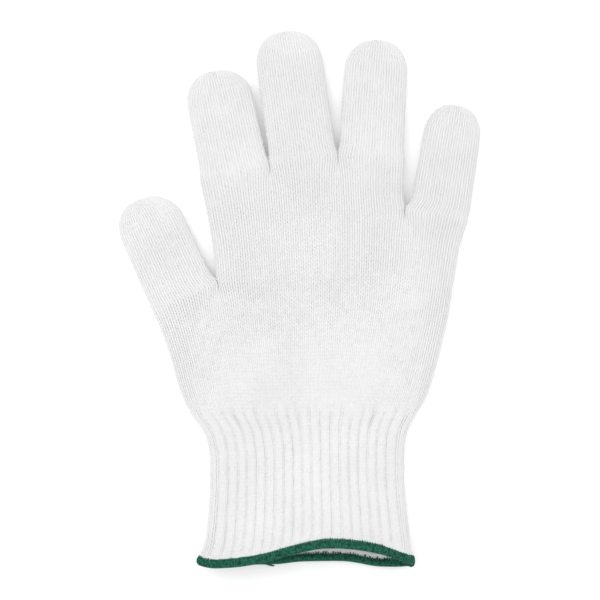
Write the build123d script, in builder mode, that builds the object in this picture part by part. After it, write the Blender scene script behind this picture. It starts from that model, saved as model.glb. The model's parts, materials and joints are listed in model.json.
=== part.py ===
from build123d import *
import math
import os

os.makedirs("parts", exist_ok=True)

# Driving dimensions in mm. The glove lies on its back, palm up, fingers along +Y.
wall = 1.5
finger_height = 9.8
finger_tip_height = 9.2
palm_height = 12.6
hem_height = 16.6
joint_gap = 0.15
ground = 0.03
axis_share = 0.6
tip_round_length = 15.0
section_points = 28

# Largest bend of each joint in degrees.
knuckle_bend = 75.0
middle_bend = 85.0
tip_bend = 51.0
thumb_root_bend = 50.0
thumb_tip_bend = 65.0
wrist_bend_up = 55.0
wrist_bend_down = 45.0

# Each digit: centre of its root line, lean to the left in degrees, lean of its hinge lines,
# length from root line to tip, width at the root and at the tip, hinge distances.
digits = {
    "index": {
        "root": (-29.9, 58.5),
        "lean": 11.9,
        "hinge_lean": 6.0,
        "reach": 48.7,
        "width": (32.0, 30.8),
        "hinges": (8.5, 24.8, 39.0),
        "start": -24.0,
    },
    "middle": {
        "root": (1.8, 64.1),
        "lean": 8.1,
        "hinge_lean": 4.0,
        "reach": 61.1,
        "width": (31.4, 31.0),
        "hinges": (10.0, 29.5, 47.0),
        "start": -24.0,
    },
    "ring": {
        "root": (33.0, 65.4),
        "lean": -3.2,
        "hinge_lean": -1.6,
        "reach": 55.2,
        "width": (30.2, 29.4),
        "hinges": (9.0, 27.0, 43.5),
        "start": -24.0,
    },
    "little": {
        "root": (64.6, 38.5),
        "lean": -9.1,
        "hinge_lean": -4.5,
        "reach": 52.4,
        "width": (28.4, 26.2),
        "hinges": (9.0, 26.0, 41.5),
        "start": -22.0,
    },
    "thumb": {
        "root": (-53.5, 0.6),
        "lean": 24.4,
        "hinge_lean": 24.4,
        "reach": 50.6,
        "width": (32.2, 31.0),
        "hinges": (8.0, 28.0),
        "start": -32.0,
    },
}

# Palm and cuff stations along Y: y, left edge x, right edge x, height.
thumb_line_y = 7.9
wrist_y = -53.5
lower_palm = [
    (wrist_y - 12.0, -45.0, 50.5, 11.6),
    (wrist_y, -50.3, 54.0, 11.9),
    (-46.3, -54.1, 58.4, 12.2),
    (-37.0, -57.0, 61.7, 12.5),
    (-28.0, -57.6, 64.1, palm_height),
    (-18.5, -55.5, 66.4, palm_height),
    (-9.3, -49.5, 68.7, palm_height),
    (0.0, -42.0, 70.1, palm_height),
    (thumb_line_y, -37.6, 71.4, palm_height),
]
upper_palm = [
    (thumb_line_y, -37.6, 71.4, palm_height),
    (15.0, -38.4, 72.5, 12.5),
    (25.0, -39.3, 74.3, 12.1),
    (33.0, -40.8, 76.2, 11.6),
    (40.5, -42.4, 77.6, 10.9),
]
three_finger_palm = [
    (20.0, -38.9, 45.8, 12.2),
    (30.0, -40.2, 46.3, 11.8),
    (40.5, -42.4, 46.8, 11.2),
    (52.0, -44.6, 47.4, 10.6),
    (61.5, -46.6, 47.9, 10.0),
]
cuff_stations = [
    (wrist_y + 12.0, -55.0, 59.5, 12.2),
    (wrist_y, -50.3, 54.0, 11.9),
    (-60.2, -44.6, 50.1, 11.5),
    (-70.0, -42.1, 48.9, 11.4),
    (-84.0, -42.0, 48.9, 12.0),
    (-98.0, -42.8, 50.2, 14.0),
    (-110.0, -44.2, 51.6, hem_height),
    (-118.0, -47.2, 52.6, hem_height),
    (-127.0, -48.2, 53.0, hem_height),
]

# Hem line of the upper layer and of the lower layer as x, y.
front_hem = [
    (-60.0, -119.8),
    (-46.2, -120.2),
    (-39.3, -121.2),
    (-27.7, -120.5),
    (-16.1, -118.5),
    (-4.0, -114.9),
    (9.4, -111.9),
    (18.7, -111.7),
    (27.9, -112.6),
    (37.2, -114.5),
    (46.5, -117.6),
    (52.0, -120.2),
    (60.0, -121.2),
]
back_hem = [
    (-60.0, -119.8),
    (-46.2, -120.4),
    (-27.7, -121.6),
    (-9.2, -121.2),
    (0.1, -119.9),
    (18.7, -119.6),
    (25.6, -120.2),
    (34.9, -122.2),
    (46.5, -122.5),
    (52.0, -121.6),
    (60.0, -121.2),
]
hem_radius = 2.3
hem_fold_z = 7.2
hem_lift = 1.58

elastic_count = 9
elastic_first_y = -62.0
elastic_pitch = 5.5
elastic_thick = 0.8

tail_start = (-17.5, -123.2, 1.9)
tail_end = (-11.6, -124.6, 1.3)
tail_radii = (0.9, 0.35)


def power(value, exponent):
    """Signed power, the building block of a rounded oval."""
    return math.copysign(abs(value) ** exponent, value)


def oval(half, low, high):
    """Closed ring of points: domed above, flatter below, squarer where it is wide."""
    square = min(1.0, max(0.0, half - 20.0) / 20.0)
    middle = low + (high - low) * 0.45
    ring = []
    for step in range(section_points):
        turn = 2.0 * math.pi * (step + 0.5) / section_points
        top = math.sin(turn) > 0
        shape = 2.0 / ((2.5 + 1.1 * square) if top else (3.2 + 0.8 * square))
        reach = high - middle if top else middle - low
        x = half * power(math.cos(turn), shape)
        y = middle + reach * power(math.sin(turn), shape)
        ring.append((x, y))
    return ring


def tube(stations, mode=Mode.ADD, straight=False):
    """Loft one closed skin through stations of plane, half width, low and high."""
    faces = []
    for plane, half, low, high in stations:
        with BuildSketch(plane) as section:
            with BuildLine():
                Spline(*oval(half, low, high), periodic=True)
            make_face()
        faces.append(section.sketch)
    loft(sections=faces, ruled=straight, mode=mode)


def palm_stations(rows, inset):
    """Stations that face along Y."""
    out = []
    for y, left, right, height in rows:
        centre = (left + right) / 2.0
        half = (right - left) / 2.0
        plane = Plane(origin=(centre, y, 0), x_dir=(1, 0, 0), z_dir=(0, -1, 0))
        rise = min(1.0, max(0.0, (-90.0 - y) / 30.0))
        low = ground + hem_lift * rise * rise
        out.append((plane, half - inset, low + inset, height - inset))
    return out


def forward(lean):
    """Direction in the glove's plane for a lean to the left."""
    angle = math.radians(lean)
    return (-math.sin(angle), math.cos(angle), 0.0)


def along(digit, distance):
    """Point on a digit's centre line, on the ground."""
    ahead = forward(digit["lean"])
    return (
        digit["root"][0] + ahead[0] * distance,
        digit["root"][1] + ahead[1] * distance,
        0.0,
    )


def digit_stations(digit, inset, first, last=None):
    """Stations along one digit, to its closed tip or to a given distance."""
    ahead = forward(digit["lean"])
    side = (ahead[1], -ahead[0], 0.0)
    reach = digit["reach"] - inset
    round_from = reach - tip_round_length
    rows = []
    if last is None:
        rows.append((first, 0.0))
        for share in (0.0, 0.22, 0.4, 0.55, 0.68, 0.79, 0.88, 0.945, 0.985):
            rows.append((round_from + tip_round_length * share, share))
    else:
        rows.append((first, 0.0))
        rows.append(((first + last) / 2.0, 0.0))
        rows.append((last, 0.0))
    out = []
    for distance, share in rows:
        blend = min(1.0, max(0.0, distance / digit["reach"]))
        width = digit["width"][0] + (digit["width"][1] - digit["width"][0]) * blend
        height = finger_height + (finger_tip_height - finger_height) * blend
        deep = min(1.0, max(0.0, -distance / 24.0))
        height = height + (palm_height - 0.8 - finger_height) * deep * deep
        narrow = (1.0 - share ** 2.45) ** (1.0 / 2.45)
        flat = (1.0 - share ** 2.3) ** (1.0 / 2.3)
        middle = height * 0.45
        low = middle - (middle - ground - inset) * flat
        high = middle + (height - inset - middle) * flat
        half = (width / 2.0 - inset) * narrow
        plane = Plane(
            origin=along(digit, distance),
            x_dir=side,
            z_dir=(-ahead[0], -ahead[1], 0.0),
        )
        out.append((plane, half, low, high))
    return out


def hinge_point(digit, index):
    """Centre of one hinge line."""
    x, y, z = along(digit, digit["hinges"][index])
    return (x, y, finger_height * axis_share)


def trim(point, lean, bend, keep_far, both_ways=0.0):
    """Cut the current solid back to one side of a hinge, with room to bend."""
    ahead = forward(lean)
    sign = 1.0 if keep_far else -1.0
    tilts = [0.0, bend / 2.0 + 0.3]
    if both_ways > 0:
        tilts = [bend / 2.0 + 0.3, -both_ways / 2.0 - 0.3]
    for tilt in tilts:
        angle = math.radians(tilt)
        normal = (
            sign * ahead[0] * math.cos(angle),
            sign * ahead[1] * math.cos(angle),
            -math.sin(angle),
        )
        origin = (
            point[0] + sign * ahead[0] * joint_gap,
            point[1] + sign * ahead[1] * joint_gap,
            point[2],
        )
        split(bisect_by=Plane(origin=origin, z_dir=normal), keep=Keep.TOP)


def notch(point, lean, bend, width):
    """Cut a digit's root back to its hinge line, with room to bend."""
    ahead = forward(lean)
    for tilt in (0.0, bend / 2.0 + 0.3):
        angle = math.radians(tilt)
        facing = (ahead[0] * math.cos(angle), ahead[1] * math.cos(angle), math.sin(angle))
        origin = (
            point[0] - ahead[0] * joint_gap,
            point[1] - ahead[1] * joint_gap,
            point[2],
        )
        plane = Plane(origin=origin, x_dir=(ahead[1], -ahead[0], 0), z_dir=facing)
        with Locations(plane):
            Box(width, 40, 14, align=(Align.CENTER, Align.CENTER, Align.MIN), mode=Mode.SUBTRACT)


wrist_point = (2.0, wrist_y, 6.2)

# Palm between the wrist and the thumb line, with the thumb's root.
thumb = digits["thumb"]
stub = thumb["hinges"][0] + 4.0
with BuildPart() as five_finger_palm:
    tube(palm_stations(lower_palm, 0.0))
    tube(digit_stations(thumb, 0.0, thumb["start"], stub))
    open_end = palm_stations([(thumb_line_y + 2.0, -36.5, 71.8, palm_height)], wall)
    tube(palm_stations(lower_palm, wall)[:-1] + open_end, mode=Mode.SUBTRACT)
    tube(digit_stations(thumb, wall, thumb["start"] - 4.0, stub + 4.0), mode=Mode.SUBTRACT)
    trim(wrist_point, 0.0, wrist_bend_up, True, wrist_bend_down)
    notch(hinge_point(thumb, 0), thumb["hinge_lean"], thumb_root_bend, 34.0)
five_finger_palm.part.label = "five_finger_palm"
export_step(five_finger_palm.part, "parts/five_finger_palm.step")

# Palm between the thumb line and the four knuckles.
with BuildPart() as four_finger_palm:
    tube(palm_stations(upper_palm, 0.0))
    tube(palm_stations(three_finger_palm, 0.0))
    for name in ("index", "middle", "ring", "little"):
        digit = digits[name]
        tube(digit_stations(digit, 0.0, digit["start"], digit["hinges"][0] + 4.0))
    low_end = palm_stations([(thumb_line_y - 2.0, -37.2, 71.1, palm_height)], wall)
    high_end = palm_stations([(40.5 - wall, -42.1, 77.3, 11.1)], wall)
    inner = palm_stations(upper_palm, wall)[1:-1]
    tube(low_end + inner + high_end, mode=Mode.SUBTRACT)
    high_end = palm_stations([(61.5 - wall, -46.3, 47.8, 10.1)], wall)
    inner = palm_stations(three_finger_palm, wall)[:-1]
    tube(inner + high_end, mode=Mode.SUBTRACT)
    for name in ("index", "middle", "ring", "little"):
        digit = digits[name]
        stub = digit["hinges"][0] + 8.0
        tube(digit_stations(digit, wall, digit["start"] - 3.0, stub), mode=Mode.SUBTRACT)
    for name in ("index", "middle", "ring", "little"):
        digit = digits[name]
        width = digit["width"][0] + 1.0
        notch(hinge_point(digit, 0), digit["hinge_lean"], knuckle_bend, width)
four_finger_palm.part.label = "four_finger_palm"
export_step(four_finger_palm.part, "parts/four_finger_palm.step")


def segment(digit, number, bends):
    """Cut one closed digit into the piece between two hinges."""
    first = digit["hinges"][number] - 9.0
    last = None
    if number + 1 < len(bends):
        last = digit["hinges"][number + 1] + 9.0
    closed = last is None
    tube(digit_stations(digit, 0.0, first, last), straight=closed)
    if not closed:
        last = last + 2.0
    tube(digit_stations(digit, wall, first - 2.0, last), mode=Mode.SUBTRACT, straight=closed)
    lean = digit["hinge_lean"]
    trim(hinge_point(digit, number), lean, bends[number], True)
    if number + 1 < len(bends):
        trim(hinge_point(digit, number + 1), lean, bends[number + 1], False)


finger_bends = (knuckle_bend, middle_bend, tip_bend)
thumb_bends = (thumb_root_bend, thumb_tip_bend)

with BuildPart() as index_base:
    segment(digits["index"], 0, finger_bends)
index_base.part.label = "index_base"
export_step(index_base.part, "parts/index_base.step")

with BuildPart() as index_middle:
    segment(digits["index"], 1, finger_bends)
index_middle.part.label = "index_middle"
export_step(index_middle.part, "parts/index_middle.step")

with BuildPart() as index_tip:
    segment(digits["index"], 2, finger_bends)
index_tip.part.label = "index_tip"
export_step(index_tip.part, "parts/index_tip.step")

with BuildPart() as middle_base:
    segment(digits["middle"], 0, finger_bends)
middle_base.part.label = "middle_base"
export_step(middle_base.part, "parts/middle_base.step")

with BuildPart() as middle_middle:
    segment(digits["middle"], 1, finger_bends)
middle_middle.part.label = "middle_middle"
export_step(middle_middle.part, "parts/middle_middle.step")

with BuildPart() as middle_tip:
    segment(digits["middle"], 2, finger_bends)
middle_tip.part.label = "middle_tip"
export_step(middle_tip.part, "parts/middle_tip.step")

with BuildPart() as ring_base:
    segment(digits["ring"], 0, finger_bends)
ring_base.part.label = "ring_base"
export_step(ring_base.part, "parts/ring_base.step")

with BuildPart() as ring_middle:
    segment(digits["ring"], 1, finger_bends)
ring_middle.part.label = "ring_middle"
export_step(ring_middle.part, "parts/ring_middle.step")

with BuildPart() as ring_tip:
    segment(digits["ring"], 2, finger_bends)
ring_tip.part.label = "ring_tip"
export_step(ring_tip.part, "parts/ring_tip.step")

with BuildPart() as little_base:
    segment(digits["little"], 0, finger_bends)
little_base.part.label = "little_base"
export_step(little_base.part, "parts/little_base.step")

with BuildPart() as little_middle:
    segment(digits["little"], 1, finger_bends)
little_middle.part.label = "little_middle"
export_step(little_middle.part, "parts/little_middle.step")

with BuildPart() as little_tip:
    segment(digits["little"], 2, finger_bends)
little_tip.part.label = "little_tip"
export_step(little_tip.part, "parts/little_tip.step")

with BuildPart() as thumb_base:
    segment(digits["thumb"], 0, thumb_bends)
thumb_base.part.label = "thumb_base"
export_step(thumb_base.part, "parts/thumb_base.step")

with BuildPart() as thumb_tip:
    segment(digits["thumb"], 1, thumb_bends)
thumb_tip.part.label = "thumb_tip"
export_step(thumb_tip.part, "parts/thumb_tip.step")


def row_at(rows, y):
    """Straight blend between the two rows around y: left edge, right edge, height."""
    ordered = sorted(rows, key=lambda row: row[0])
    for first, second in zip(ordered, ordered[1:]):
        if first[0] <= y <= second[0]:
            share = (y - first[0]) / (second[0] - first[0])
            return [a + (b - a) * share for a, b in zip(first[1:], second[1:])]
    return list(ordered[-1][1:])


def line_at(points, x):
    """Straight blend along a hem line."""
    for first, second in zip(points, points[1:]):
        if first[0] <= x <= second[0]:
            share = (x - first[0]) / (second[0] - first[0])
            return first[1] + (second[1] - first[1]) * share
    return points[-1][1]


def hem_ring():
    """Closed path through the middle of the cuff wall at its edge."""
    left, right, height = row_at(cuff_stations, -120.0)
    centre = (left + right) / 2.0
    half = (right - left) / 2.0 - wall / 2.0
    low = hem_lift + wall / 2.0
    high = height - wall / 2.0
    path = []
    for x, z in oval(half, low, high):
        points = front_hem if z > hem_fold_z else back_hem
        y = line_at(points, centre + x)
        path.append((centre + x, y, z))
    return path


def hem_cut(points, low, high):
    """Remove everything past a hem line between two heights."""
    with BuildSketch(Plane.XY.offset(low)) as past:
        with BuildLine():
            Spline(*points)
            Polyline(points[-1], (60, -150), (-60, -150), points[0])
        make_face()
    extrude(to_extrude=past.sketch, amount=high - low, mode=Mode.SUBTRACT)


hem_sections = 48

with BuildPart() as hem_binding:
    with BuildLine() as hem_line:
        Spline(*hem_ring(), periodic=True)
    for first in (0, hem_sections // 2):
        faces = []
        for step in range(first, first + hem_sections // 2 + 1):
            share = (step % hem_sections) / hem_sections
            centre = hem_line.line @ share
            heading = hem_line.line % share
            with BuildSketch(Plane(origin=centre, z_dir=heading)) as hem_section:
                Circle(hem_radius)
            faces.append(hem_section.sketch)
        loft(sections=faces)
hem_binding.part.label = "hem_binding"
export_step(hem_binding.part, "parts/hem_binding.step")

with BuildPart() as rib_cuff:
    tube(palm_stations(cuff_stations, 0.0))
    tube(palm_stations(cuff_stations, wall), mode=Mode.SUBTRACT)
    trim(wrist_point, 0.0, wrist_bend_up, False, wrist_bend_down)
    hem_cut(front_hem, hem_fold_z, 40.0)
    hem_cut(back_hem, -20.0, hem_fold_z)
    add(hem_binding.part, mode=Mode.SUBTRACT)
rib_cuff.part.label = "rib_cuff"
export_step(rib_cuff.part, "parts/rib_cuff.step")

with BuildPart() as cuff_elastic:
    for step in range(elastic_count):
        y = elastic_first_y - elastic_pitch * step
        left, right, height = row_at(cuff_stations, y)
        rows = [(y, left, right, height), (y - elastic_thick, left, right, height)]
        outer = wall + 0.6
        tube(palm_stations(rows, outer))
        longer = [(y + 0.5, left, right, height), (y - elastic_thick - 0.5, left, right, height)]
        tube(palm_stations(longer, outer + elastic_thick), mode=Mode.SUBTRACT)
cuff_elastic.part.label = "cuff_elastic"
export_step(cuff_elastic.part, "parts/cuff_elastic.step")

with BuildPart() as hem_thread_tail:
    ahead = Vector(*tail_end) - Vector(*tail_start)
    with BuildSketch(Plane(origin=tail_start, z_dir=ahead)) as thick_end:
        Circle(tail_radii[0])
    with BuildSketch(Plane(origin=tail_end, z_dir=ahead)) as thin_end:
        Circle(tail_radii[1])
    loft(sections=[thick_end.sketch, thin_end.sketch])
    add(hem_binding.part, mode=Mode.SUBTRACT)
hem_thread_tail.part.label = "hem_thread_tail"
export_step(hem_thread_tail.part, "parts/hem_thread_tail.step")
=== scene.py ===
import bpy
import json
import math
import numpy as np
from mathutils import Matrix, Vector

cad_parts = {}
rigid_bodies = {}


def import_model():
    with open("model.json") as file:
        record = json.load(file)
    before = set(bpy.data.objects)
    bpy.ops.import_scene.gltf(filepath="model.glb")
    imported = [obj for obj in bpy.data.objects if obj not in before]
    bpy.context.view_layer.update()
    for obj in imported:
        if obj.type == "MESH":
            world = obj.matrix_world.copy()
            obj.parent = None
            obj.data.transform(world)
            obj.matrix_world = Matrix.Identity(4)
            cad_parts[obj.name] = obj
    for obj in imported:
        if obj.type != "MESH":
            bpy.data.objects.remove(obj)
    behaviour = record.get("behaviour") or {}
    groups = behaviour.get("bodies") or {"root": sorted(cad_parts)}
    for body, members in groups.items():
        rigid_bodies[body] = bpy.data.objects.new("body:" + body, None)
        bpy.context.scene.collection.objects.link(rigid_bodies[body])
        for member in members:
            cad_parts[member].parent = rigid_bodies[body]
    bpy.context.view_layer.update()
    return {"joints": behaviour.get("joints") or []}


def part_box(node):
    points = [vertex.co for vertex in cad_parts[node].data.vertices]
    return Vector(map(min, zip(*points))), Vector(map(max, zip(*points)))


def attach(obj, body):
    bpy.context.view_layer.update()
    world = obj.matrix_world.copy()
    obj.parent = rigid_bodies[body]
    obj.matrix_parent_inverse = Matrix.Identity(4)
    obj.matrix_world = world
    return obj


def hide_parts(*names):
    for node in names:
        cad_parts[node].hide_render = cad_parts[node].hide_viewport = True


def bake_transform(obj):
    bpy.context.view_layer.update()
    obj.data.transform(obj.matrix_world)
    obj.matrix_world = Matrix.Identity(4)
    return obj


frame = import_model()

# All lengths below are in mm, as in the CAD part, and turn into metres in add_mesh().
# Strips of cloth are numbered by their digit, from the thumb, 0, to the little finger, 4.
COURSE = 1.70            # height of one row of stitches
THUMB_ROW = 36           # rows from the wrist to the thumb's root,
LITTLE_ROW = 55          # to the little finger's
FINGER_ROW = 68          # and to the other fingers'
PALM_ROWS = (THUMB_ROW, FINGER_ROW, FINGER_ROW, FINGER_ROW, LITTLE_ROW)
WALES = (14, 13, 14, 13, 12)       # stitches across one face of each digit
WRIST_Y = -53.5
CUFF_ROWS = 37
CUFF_LENGTH = 64.5       # from the wrist to the last of those rows
RIBS = 21                # ribs across one face of the cuff
LONG_GROOVES = (4, 10, 17, 20)     # grooves that run on up into the palm as soft folds
SPLIT_ROW = 10           # the cuff's cloth reaches this row of the palm, across the wrist
YARN = 0.53              # radius of the yarn
LOOP_DEPTH = 0.27        # how far the legs of a stitch stand in front of its head
LOOP_RISE = 0.80         # half height of a stitch, in rows
LOOP_NECK = 0.165        # how far the legs lean out, in stitches
STEPS = 8                # points along one stitch
SIDES = 5                # sides of the yarn's section
SKIN = 0.82              # the cloth's middle lies this far inside the CAD skin
LOWEST = SKIN * 0.97     # the least height of the cloth's middle
SETTLE = 0.12            # how far the cloth sinks as a whole
WIDEST = 0.45            # share of its height at which a flattened tube is widest
CALM_BACK = 0.4          # the back's waves against the front's
BACKINGS = (-0.16, -0.05, 0.06, 0.14)   # backing's height: cuff, both palm pieces, digits

# root of each digit, lean to the left in degrees, length, width at root and tip
DIGITS = (
    ("thumb", (-53.5, 0.6), 24.4, 50.6, (32.2, 31.0)),
    ("index", (-29.9, 58.5), 11.9, 48.7, (32.0, 30.8)),
    ("middle", (1.8, 64.1), 8.1, 61.1, (31.4, 31.0)),
    ("ring", (33.0, 65.4), -3.2, 55.2, (30.2, 29.4)),
    ("little", (64.6, 38.5), -9.1, 52.4, (28.0, 26.2)),
)
TIP_SKEW = (-1.1, -0.5, -0.4, 0.4, 0.0)     # how far each tip leans aside
TIP_LENGTH = 14.0
TIP_ROWS = 12
TIP_TAPER = (0.78, 0.80, 0.7)      # how fast a tip's width, height and stitches close
BLEND_MARGIN = 0.4       # each digit piece's span, worked out below but not used, is drawn in this far from its ends
FINGER_TOP = (9.8, 9.2)

# the lines between the strips of cloth: rows at which each turns, y at those rows, then y and x
LINES = (
    ((0, THUMB_ROW), (WRIST_Y, -6.05), ((WRIST_Y, -50.3), (-46.3, -54.1), (-37, -57.2),
                                            (-28, -59.5), (-18.5, -62.7), (-9.3, -66.4),
                                            (-6.05, -68.1))),
    ((0, THUMB_ROW, FINGER_ROW), (WRIST_Y, 7.6, 55.2),
     ((WRIST_Y, -28.2), (-30, -31.5), (-10, -35.5), (7.6, -38.0), (21.3, -38.9), (32.4, -40.7),
      (43.5, -43.0), (55.2, -45.6))),
    ((0, FINGER_ROW), (WRIST_Y, 61.85), ((WRIST_Y, -7.6), (0, -9.9), (35, -12.0), (61.85, -14.0))),
    ((0, FINGER_ROW), (WRIST_Y, 66.25), ((WRIST_Y, 14.5), (0, 18.8), (35, 18.5), (66.25, 17.6))),
    ((0, LITTLE_ROW, FINGER_ROW), (WRIST_Y, 40.9, 64.56),
     ((WRIST_Y, 35.0), (0, 45.4), (20, 47.5), (40.9, 48.8), (46, 47.4), (55, 47.5),
      (64.56, 48.07))),
    ((0, LITTLE_ROW), (WRIST_Y, 36.3),
     ((WRIST_Y, 54.0), (-46.3, 58.4), (-37, 61.7), (-28, 64.1), (-18.5, 66.4), (-9.3, 68.7),
      (0, 70.1), (15, 72.5), (25, 74.3), (36.3, 78.0))),
)
# the row at which each line parts two digits; the first and last are the glove's own edges
CROTCH = (None, THUMB_ROW, FINGER_ROW, FINGER_ROW, LITTLE_ROW, None)
CROTCH_ROWS = 14.0       # over this many rows the palm comes down to the fingers' height,
SEAM_ROWS = 8.5          # and over these it closes in to a tube for each of them
# palm: y, height
PALM_TOP = ((WRIST_Y, 11.9), (-40, 12.4), (-28, 12.6), (8, 12.6), (25, 12.1), (40, 11.2),
            (52, 10.6), (66, 10.0))
# cuff: y, left, right, height
CUFF = ((WRIST_Y, -50.3, 54.0, 11.9), (-60.2, -44.6, 50.1, 11.5), (-70, -42.1, 48.9, 11.4),
        (-84, -42.0, 48.9, 12.0), (-98, -42.8, 50.2, 14.0), (-110, -44.2, 51.6, 16.6),
        (-118, -47.2, 52.6, 16.6), (-127, -48.2, 53.0, 16.6))
# edge of the cuff on each face: x, y
FRONT_HEM = ((-60, -119.8), (-46.2, -120.2), (-39.3, -121.2), (-27.7, -120.5), (-16.1, -118.5),
             (-4, -114.9), (9.4, -111.9), (18.7, -111.7), (27.9, -112.6), (37.2, -114.5),
             (46.5, -117.6), (52, -120.2), (60, -121.2))
BACK_HEM = ((-60, -119.8), (-46.2, -120.4), (-27.7, -121.6), (-9.2, -121.2), (0.1, -119.9),
            (18.7, -119.6), (25.6, -120.2), (34.9, -122.2), (46.5, -122.5), (52, -121.6),
            (60, -121.2))
HEM_LIFT = 1.58          # how far the cuff's lower layer stands up off the floor at its edge

rng = np.random.default_rng(41)
BEFORE = np.cumsum((0,) + WALES)
TOTAL = BEFORE[-1]


def smooth(x):
    x = np.clip(x, 0, 1)
    return x * x * (3 - 2 * x)


def unit(a):
    """Rows of a made one long."""
    return a / np.maximum(np.linalg.norm(a, axis=1, keepdims=True), 1e-9)


def soft_table(pairs, spread=2.6):
    """A table made smooth: returns fine arrays for np.interp."""
    pairs = sorted(pairs)
    xs = np.array([p[0] for p in pairs], float)
    ys = np.array([p[1:] for p in pairs], float)
    step = 0.5
    pad = 20
    grid = np.arange(xs[0] - pad, xs[-1] + pad + step, step)
    kernel = np.exp(-0.5 * (np.arange(-16, 17) * step / spread) ** 2)
    kernel /= kernel.sum()
    out = []
    for k in range(ys.shape[1]):
        y = np.interp(grid, xs, ys[:, k])
        first = (ys[1, k] - ys[0, k]) / (xs[1] - xs[0])
        last = (ys[-1, k] - ys[-2, k]) / (xs[-1] - xs[-2])
        y = np.where(grid < xs[0], ys[0, k] + (grid - xs[0]) * first, y)
        y = np.where(grid > xs[-1], ys[-1, k] + (grid - xs[-1]) * last, y)
        out.append(np.convolve(y, kernel, "same"))
    keep = slice(20, -20)        # the ends, which the smoothing spoils, are left out
    return grid[keep], [o[keep] for o in out]


LINE_TABLES = [soft_table(line[2]) for line in LINES]
for edge, inward in ((0, SKIN), (5, -SKIN)):
    LINE_TABLES[edge][1][0] += inward
PALM_TOP_TABLE = soft_table(PALM_TOP, 4.0)
CUFF_TABLE = soft_table(CUFF, 2.2)
FRONT_TABLE = soft_table(FRONT_HEM, 2.2)
BACK_TABLE = soft_table(BACK_HEM, 2.2)


def arch(power):
    """Half of a rounded oval, evenly spaced along its length: across -1..1 and rise 0..1."""
    half_wide, half_high = 15, 4.2       # a finger's, which sets the spacing
    turn = np.linspace(math.pi, 0, 721)
    across = np.sign(np.cos(turn)) * np.abs(np.cos(turn)) ** (2 / power)
    rise = np.abs(np.sin(turn)) ** (2 / power)
    steps = np.hypot(np.diff(across * half_wide), np.diff(rise * half_high))
    length = np.concatenate([[0], np.cumsum(steps)])
    return length / length[-1], across, rise


ARCH = {1: arch(2.5), -1: arch(3.2)}


def section(t, face):
    """Where a stitch at share t across a closed tube lies, on the front (1) or back (-1)."""
    across = np.where(face > 0, np.interp(t, ARCH[1][0], ARCH[1][1]),
                      np.interp(t, ARCH[-1][0], ARCH[-1][1]))
    rise = np.where(face > 0, np.interp(t, ARCH[1][0], ARCH[1][2]),
                    np.interp(t, ARCH[-1][0], ARCH[-1][2]))
    return across, rise


def waves(x, y, face):
    """Slow unevenness of cloth that has been folded and smoothed out."""
    soft = 0.16 * np.sin(x * 0.11 + y * 0.05 + face) * np.sin(y * 0.083 - x * 0.03 + 1.3)
    soft += 0.10 * np.sin(x * 0.23 - y * 0.12 + 2.0 * face + 0.7)
    crease = np.exp(-((x + 8 + 0.16 * (y + 20)) / 3.4) ** 2) * np.exp(-((y + 22) / 24) ** 2)
    crease += 0.8 * np.exp(-((x - 10 + 0.10 * (y + 10)) / 3.0) ** 2) * np.exp(-((y + 16) / 26) ** 2)
    crease += 0.6 * np.exp(-((x - 44 - 0.2 * y) / 3.6) ** 2) * np.exp(-((y + 14) / 22) ** 2)
    return soft - np.where(face > 0, 0.5, 0.1) * crease


def layer_height(x, y, face, bottom, top, grow):
    """Height of a layer: grow is 0 at a tube's edge, where its layers meet, and 1 on the flat."""
    middle = bottom + (top - bottom) * WIDEST
    z = np.where(face > 0, middle + (top - middle) * grow, middle - (middle - bottom) * grow)
    z = z + waves(x, y, face) * np.clip(grow, 0, 1) * np.where(face > 0, 1.0, CALM_BACK) - SETTLE
    return np.maximum(z, LOWEST)


def line_place(k, row):
    """Where line k between two strips of cloth lies at a row."""
    rows, heights, _ = LINES[k]
    y = np.interp(row, rows, heights)
    return np.interp(y, LINE_TABLES[k][0], LINE_TABLES[k][1][0]), y


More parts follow.
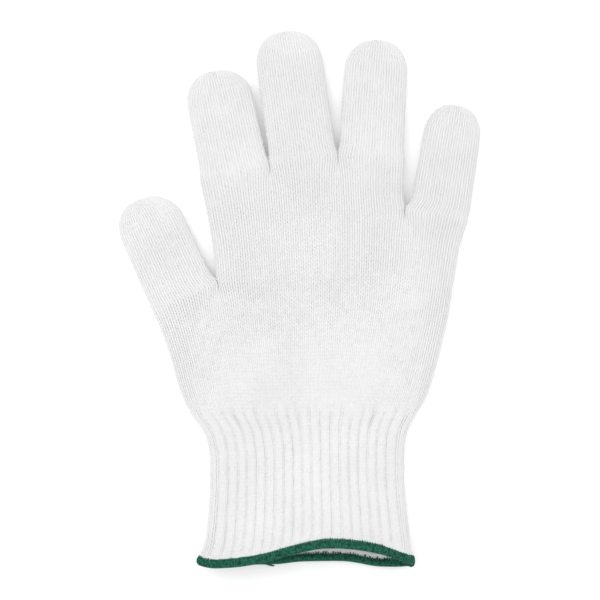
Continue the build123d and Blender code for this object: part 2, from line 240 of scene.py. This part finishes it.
def palm(strip, t, face, row):
    """A point of the palm or cuff, from its strip, share across, face and row."""
    n = len(t)
    here = np.arange(n)
    xs = np.zeros((6, n))
    ys = np.zeros((6, n))
    opened = np.zeros((6, n))
    tops = np.zeros((6, n))
    low = row < 0
    cuff_y = WRIST_Y + row * (CUFF_LENGTH / CUFF_ROWS)
    grid, (left, right, height) = CUFF_TABLE
    cuff_left = np.interp(cuff_y, grid, left) + SKIN
    cuff_right = np.interp(cuff_y, grid, right) - SKIN
    cuff_top = np.interp(cuff_y, grid, height)
    for k in range(6):
        x, y = line_place(k, row)
        top = np.interp(y, PALM_TOP_TABLE[0], PALM_TOP_TABLE[1][0])
        if CROTCH[k] is None:
            left_over = LINES[k][0][-1] - row
            opened[k] = 1.0
        else:
            left_over = CROTCH[k] - row
            opened[k] = np.clip(1 - left_over / SEAM_ROWS, 0, 1) ** 2
        near = np.clip(1 - left_over / CROTCH_ROWS, 0, 1)
        top = top + (FINGER_TOP[0] - top) * smooth(near)
        xs[k] = np.where(low, cuff_left + (cuff_right - cuff_left) * BEFORE[k] / TOTAL, x)
        ys[k] = y
        tops[k] = np.where(low, cuff_top, top)
    x0, x1 = xs[strip, here], xs[strip + 1, here]
    y0, y1 = ys[strip, here], ys[strip + 1, here]
    o0, o1 = opened[strip, here], opened[strip + 1, here]
    h0, h1 = tops[strip, here], tops[strip + 1, here]
    across, rise = section(t, face)
    ease = smooth(t)
    o = o0 + (o1 - o0) * ease
    share = t + ((1 + across) / 2 - t) * o
    x = x0 + (x1 - x0) * share
    y = y0 + (y1 - y0) * share
    hem_front = np.interp(x, FRONT_TABLE[0], FRONT_TABLE[1][0])
    hem_back = np.interp(x, BACK_TABLE[0], BACK_TABLE[1][0])
    hem = np.where(face > 0, hem_front, hem_back)
    y = np.where(low, WRIST_Y + (hem - WRIST_Y) * (-row / CUFF_ROWS), y)
    top = h0 + (h1 - h0) * t - SKIN
    lift = HEM_LIFT * np.clip((-90 - cuff_y) / 30, 0, 1) ** 2
    bottom = SKIN + np.where(low, lift, 0)
    return np.stack([x, y, layer_height(x, y, face, bottom, top, 1 - o + o * rise)], 1)


def finger(strip, t, face, row):
    """A point of a digit, from its strip, share across, face and row."""
    out = np.zeros((len(t), 3))
    for k, (name, root, lean, reach, width) in enumerate(DIGITS):
        pick = strip == k
        if not pick.any():
            continue
        tt, ff, rr = t[pick], face[pick], row[pick]
        angle = math.radians(lean)
        ahead = np.array([-math.sin(angle), math.cos(angle)])
        side = np.array([math.cos(angle), math.sin(angle)])
        v = (rr - PALM_ROWS[k]) * COURSE
        straight = reach - TIP_LENGTH
        turn = np.clip((v - straight) / (TIP_ROWS * COURSE), 0, 0.999) * math.pi / 2
        along = np.where(v > straight, straight + TIP_LENGTH * np.sin(turn), v) - 0.5 * SKIN * (turn > 0)
        narrow = np.cos(turn) ** TIP_TAPER[0]
        flat = np.cos(turn) ** TIP_TAPER[1]
        share = np.clip(along / reach, 0, 1)
        half = ((width[0] + (width[1] - width[0]) * share) / 2 - SKIN) * narrow
        top = FINGER_TOP[0] + (FINGER_TOP[1] - FINGER_TOP[0]) * share - SKIN
        across, rise = section(tt, ff)
        centre = np.array(root)[None, :] + ahead[None, :] * along[:, None]
        skew = TIP_SKEW[k] * np.sin(turn) ** 2
        half = half - np.abs(skew) * narrow
        own = centre + side[None, :] * (half * across + skew)[:, None]
        ends = [np.array(line_place(b, PALM_ROWS[k])) for b in (k, k + 1)]
        low = ends[0] + (ends[1] - ends[0]) * ((1 + across) / 2)[:, None]
        low = low + ahead[None, :] * v[:, None]
        mix = smooth(v / 7.0)[:, None]
        xy = low + (own - low) * mix
        out[pick, :2] = xy
        out[pick, 2] = layer_height(xy[:, 0], xy[:, 1], ff, SKIN, top, rise * flat)
    return out


def cloth(strip, t, face, row):
    """The middle of the cloth anywhere on the glove."""
    roots = np.array(PALM_ROWS)[strip]
    up = row > roots
    out = np.zeros((len(t), 3))
    if (~up).any():
        out[~up] = palm(strip[~up], t[~up], face[~up], row[~up])
    if up.any():
        out[up] = finger(strip[up], t[up], face[up], row[up])
    return out


def outward(strip, t, face, row):
    """The cloth's outward direction."""
    dt = 0.02
    dr = 0.25
    a = cloth(strip, np.clip(t + dt, 0, 1), face, row) - cloth(strip, np.clip(t - dt, 0, 1), face, row)
    b = cloth(strip, t, face, row + dr) - cloth(strip, t, face, row - dr)
    return unit(np.cross(a, b) * face[:, None])


def rib(strip, t, row):
    """How far the wrist's ribs stand out, from the stitch's place across the glove."""
    place = (BEFORE[strip] + t * np.array(WALES)[strip]) * RIBS / TOTAL
    nearest = np.round(place)
    groove = np.exp(-((place - nearest) / 0.17) ** 2)
    top = 0.5 + 1.5 * np.sin(nearest * 2.4)
    strength = smooth((top + 3.5 - row) / 5.0) * smooth((row + CUFF_ROWS - 0.6) / 3.0)
    lift = (0.14 - 0.85 * groove) * strength
    for k in LONG_GROOVES:
        wide = 0.30 + 0.05 * np.clip(row, 0, 12)
        fold = np.exp(-((place - k) / wide) ** 2) * smooth((13.0 - row) / 12.0)
        lift = lift - 0.75 * fold * smooth((row + 6.0) / 6.0)
    return lift


class Mesh:
    """Collects vertices and faces of one piece."""

    def __init__(self):
        self.points = []
        self.quads = []
        self.count = 0

    def add(self, points, quads):
        self.points.append(points)
        self.quads.append(quads + self.count)
        self.count += len(points)


def ring_quads(rings, sides, closed=True):
    """Faces between rings of points that follow one another."""
    i = np.arange(rings if closed else rings - 1)[:, None]
    j = np.arange(sides)[None, :]
    k = (i + 1) % rings
    m = (j + 1) % sides
    return np.stack([i * sides + j, k * sides + j, k * sides + m, i * sides + m], 2).reshape(-1, 4)


def tube(mesh, path, normal, radius, sides=SIDES, closed=True):
    """A round thread along a path, its section turned by the normal."""
    n = len(path)
    if closed:
        ahead = np.roll(path, -1, 0) - np.roll(path, 1, 0)
    else:
        ahead = np.gradient(path, axis=0)
    ahead = unit(ahead)
    up = unit(normal - (normal * ahead).sum(1, keepdims=True) * ahead)
    side = np.cross(ahead, up)
    turns = np.arange(sides) * 2 * math.pi / sides
    radius = np.broadcast_to(np.asarray(radius, float), (n,))
    ring = (up[:, None, :] * np.cos(turns)[None, :, None]
            + side[:, None, :] * np.sin(turns)[None, :, None]) * radius[:, None, None]
    points = (path[:, None, :] + ring).reshape(-1, 3)
    mesh.add(points, ring_quads(n, sides, closed)[:, ::-1])


def stitches(strips, counts):
    """Places of one full row of stitches round the glove: strip, share across, face, phase."""
    parts = []
    for face in (1, -1):
        order = list(strips) if face > 0 else list(reversed(strips))
        for s in order:
            n = counts[s]
            tau = (np.arange(n * STEPS) / STEPS) % 1.0
            index = np.floor(np.arange(n * STEPS) / STEPS)
            swing = LOOP_NECK * np.sin(4 * math.pi * tau)
            place = (index + tau + swing) / n
            if face < 0:
                place = 1 - place
            parts.append((np.full(n * STEPS, s), np.clip(place, 0, 1),
                          np.full(n * STEPS, face), tau, np.repeat(rng.normal(0, 1, n), STEPS)))
    return [np.concatenate(x) for x in zip(*parts)]


def knit_row(mesh, strips, row, counts=None):
    """One row of stitches as a single closed yarn."""
    counts = counts or {s: WALES[s] for s in strips}
    strip, t, face, tau, odd = stitches(strips, counts)
    strip = strip.astype(int)
    wander = 0.035 * np.sin(np.cumsum(rng.normal(0, 0.25, len(t))))
    rows = row - LOOP_RISE * np.cos(2 * math.pi * tau) * (1 + 0.05 * odd) + wander
    middle = cloth(strip, t, face, rows)
    out = outward(strip, t, face, rows)
    lift = -LOOP_DEPTH * np.cos(4 * math.pi * tau) + 0.03 * odd + rib(strip, t, rows)
    path = middle + out * lift[:, None]
    tube(mesh, path, out, YARN * (1 + 0.05 * odd))


def backing(mesh, strips, rows, lift):
    """The dense inner face of the cloth, which closes the gaps between stitches."""
    for s in strips:
        for face in (1, -1):
            across = np.linspace(0, 1, WALES[s] * 2 + 1)
            tt, rr = np.meshgrid(across, rows)
            shape = tt.shape
            tt, rr = tt.ravel(), rr.ravel()
            strip = np.full(len(tt), s)
            faces = np.full(len(tt), face)
            out = outward(strip, tt, faces, rr)
            points = cloth(strip, tt, faces, rr) + out * (lift + rib(strip, tt, rr))[:, None]
            i, j = np.meshgrid(np.arange(shape[0] - 1), np.arange(shape[1] - 1), indexing="ij")
            a = i * shape[1] + j
            quads = np.stack([a, a + 1, a + 1 + shape[1], a + shape[1]], 2).reshape(-1, 4)
            mesh.add(points, quads if face > 0 else quads[:, ::-1])


def add_mesh(name, mesh):
    """Turns the collected faces into an object, in metres."""
    points = np.concatenate(mesh.points) * 0.001
    quads = np.concatenate(mesh.quads).astype(np.int32)
    data = bpy.data.meshes.new(name)
    data.vertices.add(len(points))
    data.vertices.foreach_set("co", points.astype(np.float32).ravel())
    data.loops.add(quads.size)
    data.loops.foreach_set("vertex_index", quads.ravel())
    data.polygons.add(len(quads))
    data.polygons.foreach_set("loop_start", np.arange(0, quads.size, 4, dtype=np.int32))
    data.polygons.foreach_set("loop_total", np.full(len(quads), 4, np.int32))
    data.polygons.foreach_set("use_smooth", np.ones(len(quads), bool))
    data.update(calc_edges=True)
    obj = bpy.data.objects.new(name, data)
    bpy.context.scene.collection.objects.link(obj)
    return obj


def material(name, colour, rough, sheen, build):
    """A matt material, whose colour and bump are made by build."""
    mat = bpy.data.materials.new(name)
    mat.use_nodes = True
    nodes, links = mat.node_tree.nodes, mat.node_tree.links
    shader = nodes["Principled BSDF"]
    shader.inputs["Roughness"].default_value = rough
    shader.inputs["Sheen Weight"].default_value = sheen
    shader.inputs["Sheen Roughness"].default_value = 0.5
    shader.inputs["Specular IOR Level"].default_value = 0.3
    build(nodes, links, shader, colour)
    return mat


def yarn_look(nodes, links, shader, colour, patch=42, edges=(0.30, 0.68)):
    """Fibres, slow shade changes and a fine twist in the bump."""
    place = nodes.new("ShaderNodeTexCoord")
    slow = nodes.new("ShaderNodeTexNoise")
    slow.inputs["Scale"].default_value = patch
    slow.inputs["Detail"].default_value = 3
    fine = nodes.new("ShaderNodeTexNoise")
    fine.inputs["Scale"].default_value = 1900
    fine.inputs["Detail"].default_value = 2
    links.new(place.outputs["Object"], slow.inputs["Vector"])
    links.new(place.outputs["Object"], fine.inputs["Vector"])
    both = nodes.new("ShaderNodeMath")
    both.operation = "MULTIPLY_ADD"
    both.inputs[1].default_value = 0.55
    links.new(slow.outputs["Fac"], both.inputs[0])
    half = nodes.new("ShaderNodeMath")
    half.operation = "MULTIPLY"
    half.inputs[1].default_value = 0.45
    links.new(fine.outputs["Fac"], half.inputs[0])
    links.new(half.outputs[0], both.inputs[2])
    ramp = nodes.new("ShaderNodeValToRGB")
    ramp.color_ramp.elements[0].position = edges[0]
    ramp.color_ramp.elements[0].color = (*colour[0], 1)
    ramp.color_ramp.elements[1].position = edges[1]
    ramp.color_ramp.elements[1].color = (*colour[1], 1)
    links.new(both.outputs[0], ramp.inputs["Fac"])
    links.new(ramp.outputs["Color"], shader.inputs["Base Color"])
    bump = nodes.new("ShaderNodeBump")
    bump.inputs["Strength"].default_value = 0.35
    bump.inputs["Distance"].default_value = 0.00018
    links.new(fine.outputs["Fac"], bump.inputs["Height"])
    links.new(bump.outputs["Normal"], shader.inputs["Normal"])


def thread_with_painted_shade_and_highlight(nodes, links, shader, colour):
    """Short stitches of thread in random stitch-sized patches: the thread's green, with dark patches of
    painted shade like the gaps between stitches and light patches of painted highlight.
    """
    yarn_look(nodes, links, shader, colour, 820, (0.40, 0.58))


WHITE = material("white_yarn", ((0.77, 0.77, 0.773), (0.85, 0.85, 0.85)), 0.86, 0.04, yarn_look)
# the hem thread's colour runs from painted shade, dark as the gaps between stitches, to painted
# highlight
GREEN = material("hem_thread", ((0.002, 0.030, 0.018), (0.018, 0.190, 0.115)), 0.75, 0.0, thread_with_painted_shade_and_highlight)
ELASTIC = material("elastic_yarn", ((0.70, 0.70, 0.68), (0.82, 0.82, 0.80)), 0.6, 0.1, yarn_look)


def finish_piece(name, mesh, mat, replaced):
    """Adds a piece with its material and hides the CAD parts that it stands for."""
    obj = add_mesh(name, mesh)
    obj.data.materials.append(mat)
    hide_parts(*replaced)
    return obj


# the palm and the cuff
def row_edges(first, last):
    """Where the rows from first to last begin and end."""
    return np.arange(first, last + 1.0)


def rows_of(strips, first, last):
    """Knits the rows from first to last, each strip as far as its digit's root."""
    mesh = Mesh()
    row = first + 0.5
    while row < last:
        live = [s for s in strips if row < PALM_ROWS[s]]
        knit_row(mesh, live, row)
        row += 1
    return mesh


cuff = rows_of(range(5), -CUFF_ROWS + 1, SPLIT_ROW)
backing(cuff, range(5), row_edges(-CUFF_ROWS, SPLIT_ROW), BACKINGS[0])
cuff = finish_piece("rib_cuff", cuff, WHITE, ["rib_cuff"])
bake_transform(cuff)

five = rows_of(range(5), SPLIT_ROW, THUMB_ROW)
backing(five, range(5), row_edges(SPLIT_ROW, THUMB_ROW), BACKINGS[1])
five = finish_piece("five_finger_palm", five, WHITE, ["five_finger_palm"])
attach(five, "palm")

four = rows_of(range(1, 5), THUMB_ROW, FINGER_ROW)
backing(four, range(1, 4), row_edges(THUMB_ROW, FINGER_ROW), BACKINGS[2])
backing(four, [4], row_edges(THUMB_ROW, LITTLE_ROW), BACKINGS[2])
four = finish_piece("four_finger_palm", four, WHITE, ["four_finger_palm"])
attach(four, "palm")

# the digits: each piece of cloth crosses one joint
for k, (name, root, lean, reach, _) in enumerate(DIGITS):
    hinges = []
    for j in frame["joints"]:
        if j["child"].startswith(name + "_"):
            hinges.append((j["child"], j["parent"], j["pos_m"]))
    order = ("base", "tip") if name == "thumb" else ("base", "middle", "tip")
    hinges.sort(key=lambda h: order.index(h[0].split("_")[1]))
    ahead = (-math.sin(math.radians(lean)), math.cos(math.radians(lean)))
    marks = [((h[2][0] * 1000 - root[0]) * ahead[0] + (h[2][1] * 1000 - root[1]) * ahead[1])
             for h in hinges]
    cuts = [0.0] + [(a + b) / 2 for a, b in zip(marks, marks[1:])] + [math.inf]
    end_row = PALM_ROWS[k] + (reach - TIP_LENGTH) / COURSE + TIP_ROWS
    for piece, (child, parent, place) in enumerate(hinges):
        mesh = Mesh()
        row = PALM_ROWS[k] + 0.5
        used = []
        while row < end_row - 0.25:
            v = (row - PALM_ROWS[k]) * COURSE
            if cuts[piece] <= v < cuts[piece + 1]:
                turn = max(0.0, (v - (reach - TIP_LENGTH)) / (TIP_ROWS * COURSE)) * math.pi / 2
                count = max(3, int(round(WALES[k] * max(0.0, math.cos(turn)) ** TIP_TAPER[2])))
                knit_row(mesh, [k], row, {k: count})
                used.append(row)
            row += 1
        rows = np.array([used[0] - 0.5] + [r + 0.5 for r in used])
        if piece == len(hinges) - 1:
            rows = np.concatenate([rows[:-1], [rows[-1] - 0.2, end_row - 0.02]])
        backing(mesh, [k], rows, BACKINGS[3])
        obj = finish_piece(child, mesh, WHITE, [child])
        low = cuts[piece] + BLEND_MARGIN
        high = min(2 * marks[piece] - low, cuts[piece + 1] - BLEND_MARGIN)
        low = max(low, 2 * marks[piece] - high)
        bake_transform(obj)

# the hem: a padded edge wrapped by overlock threads that wind both ways
HEM_STEPS = 2304
STARTS = 5               # threads that wind side by side, each way
TURNS = 34               # times that each thread goes round the padded edge
CORE_SIDES = 16
THREAD_GAP = 0.36        # the threads' middle lies this far outside the padding


def round_cuff(count):
    """Even places over the cuff's front and back again: strip, share across and face."""
    u = np.arange(count) / count * 2
    face = np.where(u < 1, 1, -1)
    whole = np.clip(np.where(u < 1, u, 2 - u), 0, 1 - 1e-9) * TOTAL
    strip = np.clip(np.searchsorted(BEFORE, whole, side="right") - 1, 0, 4)
    return strip, (whole - BEFORE[strip]) / np.array(WALES)[strip], face


def hem_frame(count):
    """Places round the cuff's edge, with the outward direction and the direction up the cloth."""
    strip, t, face = round_cuff(count)
    row = np.full(count, -CUFF_ROWS + 0.3)
    middle = cloth(strip, t, face, row)
    out = outward(strip, t, face, row)
    up = unit(cloth(strip, t, face, row + 1.0) - middle)

    def even(a):
        wrapped = np.concatenate([a[-8:], a, a[:8]])
        kernel = np.hanning(11)
        kernel /= kernel.sum()
        return np.stack([np.convolve(wrapped[:, i], kernel, "same") for i in range(3)], 1)[8:-8]

    return even(middle), unit(even(out)), unit(even(up))


mesh = Mesh()
count = HEM_STEPS
path, out, up = hem_frame(count)
# the layer that lies below shows a narrower band
upper = 0.5 + 0.5 * np.clip(2.2 * np.sin(np.arange(count) * 2 * math.pi / count), -1, 1)
fold = np.cos(np.arange(count) * 2 * math.pi / count) ** 16
deep = 1.12 - 0.05 * fold
wide = 1.22 + 0.58 * upper
path = path - up * (0.55 * (1 - upper))[:, None] - out * (0.10 * fold)[:, None]
angles = np.arange(CORE_SIDES) * 2 * math.pi / CORE_SIDES
thin = slice(0, count, 4)
ring = (path[thin][:, None, :]
        + out[thin][:, None, :] * (deep[thin][:, None] * np.cos(angles)[None, :])[:, :, None]
        + up[thin][:, None, :] * (wide[thin][:, None] * np.sin(angles)[None, :])[:, :, None])
mesh.add(ring.reshape(-1, 3), ring_quads(len(ring), CORE_SIDES))
for sense in (1, -1):
    for start in range(STARTS):
        angle = sense * np.arange(count) * 2 * math.pi * TURNS / count + start * 2 * math.pi / STARTS
        turn_number = np.floor((angle / (2 * math.pi) - 0.25) % (2 * TURNS)).astype(int)
        reach = rng.uniform(0.0, 1.0, 2 * TURNS + 1)[turn_number]
        bite = (1.15 - 0.85 * upper) * reach ** 2
        top = np.clip(np.sin(angle), 0, 1) ** 6
        high = wide + THREAD_GAP + top * bite
        place = (path + out * ((deep + THREAD_GAP) * np.cos(angle))[:, None]
                 + up * (high * np.sin(angle))[:, None])
        facing = out * np.cos(angle)[:, None] + up * np.sin(angle)[:, None]
        tube(mesh, place, facing, 0.33 if sense > 0 else 0.27, sides=6)
hem = finish_piece("hem_binding", mesh, GREEN, ["hem_binding"])
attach(hem, "cuff")

# the overlock's free end, three threads twisted together, tapering along the edge
TAIL_STEPS = 60
mesh = Mesh()
a, b = (np.array(c) * 1000 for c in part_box("hem_thread_tail"))
marks = np.array([[a[0] - 1.0, b[1] + 1.3, b[2]], [a[0] + 2.0, b[1] + 0.8, b[2] - 0.2],
                  [b[0] - 2.4, b[1] - 0.1, 1.7], [b[0] - 0.4, a[1] + 1.0, 1.4]])
s = np.linspace(0, 1, TAIL_STEPS)
line = np.stack([np.interp(s * 3, np.arange(4), marks[:, c]) for c in range(3)], 1)
for turn in np.arange(3) * 2 * math.pi / 3:
    spin = s * 8 + turn
    wide_by = 0.50 * (1 - 0.8 * s)
    off = np.stack([0 * spin, np.cos(spin) * wide_by, np.sin(spin) * wide_by], 1)
    tube(mesh, line + off, np.tile([[0.0, 0.0, 1.0]], (TAIL_STEPS, 1)) + off, 0.46 * (1 - 0.5 * s),
         sides=6, closed=False)
tail = finish_piece("hem_thread_tail", mesh, GREEN, ["hem_thread_tail"])
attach(tail, "cuff")

# elastic yarn laid inside the cuff
ELASTIC_ROUNDS = 9
ELASTIC_PITCH = 5.5
ELASTIC_Y = -62.4        # of the round nearest the wrist
ELASTIC_STEPS = 264
mesh = Mesh()
for y in ELASTIC_Y - ELASTIC_PITCH * np.arange(ELASTIC_ROUNDS):
    strip, t, face = round_cuff(ELASTIC_STEPS)
    rows = np.full(ELASTIC_STEPS, (y - WRIST_Y) * CUFF_ROWS / CUFF_LENGTH)
    out = outward(strip, t, face, rows)
    inside = cloth(strip, t, face, rows) + out * (-1.25 + 0.5 * rib(strip, t, rows))[:, None]
    tube(mesh, inside, out, 0.34, sides=6)
elastic = finish_piece("cuff_elastic", mesh, ELASTIC, ["cuff_elastic"])
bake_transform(elastic)

# floor, lights and camera
bpy.ops.mesh.primitive_plane_add(size=6, location=(0, 0, -0.0004))
floor = bpy.context.object
floor.name = "floor"
floor_mat = bpy.data.materials.new("floor")
floor_mat.use_nodes = True
shader = floor_mat.node_tree.nodes["Principled BSDF"]
shader.inputs["Base Color"].default_value = (0.98, 0.98, 0.98, 1)
shader.inputs["Roughness"].default_value = 0.9
shader.inputs["Emission Color"].default_value = (1, 1, 1, 1)
shader.inputs["Emission Strength"].default_value = 0.12
floor.data.materials.append(floor_mat)

world = bpy.data.worlds.new("studio")
bpy.context.scene.world = world
world.use_nodes = True
world.node_tree.nodes["Background"].inputs["Color"].default_value = (1, 1, 1, 1)
world.node_tree.nodes["Background"].inputs["Strength"].default_value = 1.0


def softbox(name, place, size, power):
    """A square light that faces the glove."""
    light = bpy.data.lights.new(name, "AREA")
    light.shape = "SQUARE"
    light.size = size
    light.energy = power
    obj = bpy.data.objects.new(name, light)
    obj.location = place
    direction = -np.array(place)
    obj.rotation_euler = (math.atan2(math.hypot(direction[0], direction[1]), -direction[2]), 0,
                          math.atan2(direction[0], -direction[1]) + math.pi)
    bpy.context.scene.collection.objects.link(obj)


softbox("key", (-0.6, 0.55, 1.1), 0.8, 3.4)
softbox("fill", (0.8, -0.5, 1.0), 0.9, 1.0)

VIEW_WIDTH = 0.2780      # metres across the picture, at the cloth's height
CLOTH_HEIGHT = 0.006
camera = bpy.data.cameras.new("camera")
camera.lens = 100
camera.sensor_width = 36
eye = bpy.data.objects.new("camera", camera)
eye.location = (0.0001, 0.0, CLOTH_HEIGHT + VIEW_WIDTH * camera.lens / camera.sensor_width)
eye.rotation_euler = (0, 0, 0)
bpy.context.scene.collection.objects.link(eye)
bpy.context.scene.camera = eye
bpy.context.scene.view_settings.view_transform = "Standard"
